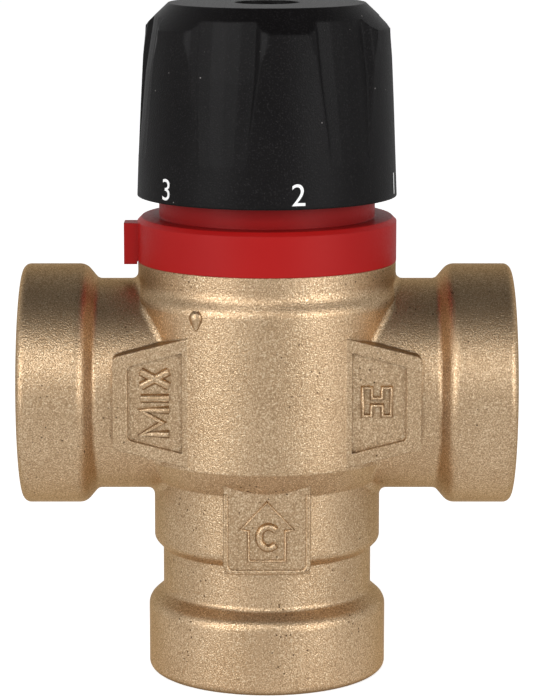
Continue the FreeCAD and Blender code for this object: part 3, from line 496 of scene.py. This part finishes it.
def casting_nub():
    """Small drop-shaped stub that the forging die leaves, wide at its top."""
    rings, around = 14, 24
    depth_share, bluntness = 0.75, 0.55
    points, faces = [], []
    for ring in range(rings + 1):
        up = ring / rings
        width = NUB_HALF_WIDTH * sin(pi * (0.03 + 0.94 * up)) ** bluntness * (0.3 + 0.7 * up)
        for corner in range(around):
            angle = 2 * pi * corner / around
            side, out = width * cos(angle), depth_share * width * sin(angle)
            azimuth = radians(NUB_AZIMUTH) + side / CASTING_RADIUS
            points.append(around_axis(CASTING_RADIUS + out, azimuth, NUB_BOTTOM + NUB_HEIGHT * up))
    for ring in range(rings):
        for corner in range(around):
            after = (corner + 1) % around
            faces.append((ring * around + corner, ring * around + after,
                          (ring + 1) * around + after, (ring + 1) * around + corner))
    mesh_piece("casting_nub", smooth_mesh("casting_nub", points, faces), "casting", MARKS)


def head_blend():
    """Soft step where the casting narrows below the collar: a turned band that covers the cone."""
    around = 160
    count = len(HEAD_OUTLINE)
    points, faces = [], []
    for step in range(around):
        angle = 2 * pi * step / around
        points += [(radius * cos(angle), radius * sin(angle), height) for radius, height in HEAD_OUTLINE]
    for step in range(around):
        here, there = step * count, (step + 1) % around * count
        for corner in range(count):
            after = (corner + 1) % count
            faces.append((here + corner, there + corner, there + after, here + after))
    mesh = smooth_mesh("head_blend", points, faces)
    mesh.set_sharp_from_angle(angle=radians(40))
    mesh_piece("head_blend", mesh, "casting", MARKS)


def squashed_spring(name, node, body):
    """Copy of a spring's node that rides on the body, with the node itself hidden."""
    mesh = frame["nodes"][node].data.copy()
    piece = mesh_piece(name, mesh, body, MATERIALS["spring_steel"])
    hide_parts(node)
    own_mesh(piece)


def build_details():
    head_blend()
    squashed_spring("safety_spring_coil", "overtravel_spring", "carrier_set")
    squashed_spring("return_spring_coil", "return_spring", "casting")
    for text, azimuth in DIGITS.items():
        print_digit(text, azimuth)
    mark_left_pad()
    mark_right_pad()
    mark_lower_pad()
    casting_nub()
    thread("thread_cold", (0, 0, 0), 0)
    thread("thread_hot", (PORT_REACH, 0, PORT_HEIGHT), -90)
    thread("thread_mix", (-PORT_REACH, 0, PORT_HEIGHT), 90)


# ---------------------------------------------------------------- studio
def area_light(name, azimuth, elevation, distance, wide, tall, watts):
    """Softbox that faces the valve."""
    lamp = bpy.data.lights.new(name, "AREA")
    lamp.shape = "RECTANGLE"
    lamp.size, lamp.size_y, lamp.energy = wide, tall, watts
    box = bpy.data.objects.new(name, lamp)
    turn, rise = radians(azimuth), radians(elevation)
    way = Vector((sin(turn) * cos(rise), -cos(turn) * cos(rise), sin(rise)))
    target = Vector(LAMP_TARGET)
    box.location = target + distance * way
    box.rotation_euler = (target - box.location).to_track_quat("-Z", "Y").to_euler()
    bpy.context.collection.objects.link(box)


def plain_sheet(name, corners):
    mesh = bpy.data.meshes.new(name)
    mesh.from_pydata(corners, [], [tuple(range(len(corners)))])
    sheet = bpy.data.objects.new(name, mesh)
    bpy.context.collection.objects.link(sheet)
    return sheet


def build_studio():
    for name, values in LAMPS.items():
        area_light(name, *values)
    build_world()
    build_floor()


def build_world():
    """Pale walls all round, darker above and in front."""
    world = bpy.data.worlds.new("studio")
    world.use_nodes = True
    tree = world.node_tree
    background = tree.nodes["Background"]
    way = tree.nodes.new("ShaderNodeTexCoord")
    parts = tree.nodes.new("ShaderNodeSeparateXYZ")
    tree.links.new(way.outputs["Generated"], parts.inputs[0])
    strength = tree.nodes.new("ShaderNodeMath")
    strength.operation = "MULTIPLY"
    for factor, axis, values in ((0, "Z", WORLD_BY_HEIGHT), (1, "Y", WORLD_BY_DEPTH)):
        ramp = tree.nodes.new("ShaderNodeMapRange")
        for index, value in enumerate(values, start=1):
            ramp.inputs[index].default_value = value
        tree.links.new(parts.outputs[axis], ramp.inputs[0])
        tree.links.new(ramp.outputs[0], strength.inputs[factor])
    tree.links.new(strength.outputs[0], background.inputs["Strength"])
    background.inputs["Color"].default_value = (1, 1, 1, 1)
    bpy.context.scene.world = world


def build_floor():
    """White table that glows evenly for the camera, and for other rays only near the valve."""
    half = FLOOR_HALF
    floor = plain_sheet("floor", [(-half, -half, 0), (half, -half, 0), (half, half, 0), (-half, half, 0)])
    shader = Shader("floor", (FLOOR_WHITE, FLOOR_WHITE, FLOOR_WHITE), 0.0, 0.9)
    seen = shader.add("ShaderNodeLightPath").outputs["Is Camera Ray"]
    shader.surface.inputs["Emission Color"].default_value = (1, 1, 1, 1)
    away = shader.add("ShaderNodeVectorMath", operation="LENGTH")
    shader.link(shader.place, away.inputs[0])
    near = shader.ranged(away.outputs["Value"], FLOOR_GLOW_FULL, FLOOR_GLOW_END, 1, 0)
    glow = shader.ranged(near, 0, 1, 0.0, FLOOR_GLOW_NEAR)
    strength = shader.between(seen, glow, FLOOR_GLOW_SEEN)
    shader.link(strength, shader.surface.inputs["Emission Strength"])
    floor.data.materials.append(shader.material)


def build_camera():
    lens = bpy.data.cameras.new("camera")
    lens.sensor_width = 36
    lens.lens = CAMERA_LENS
    camera = bpy.data.objects.new("camera", lens)
    camera.location = CAMERA_PLACE
    camera.rotation_euler = (radians(CAMERA_TILT), 0, 0)
    bpy.context.collection.objects.link(camera)
    bpy.context.scene.camera = camera
    lens.clip_start = 0.01
    lens.clip_end = 100


build_details()
build_studio()
build_camera()
bpy.context.scene.view_settings.view_transform = "Standard"
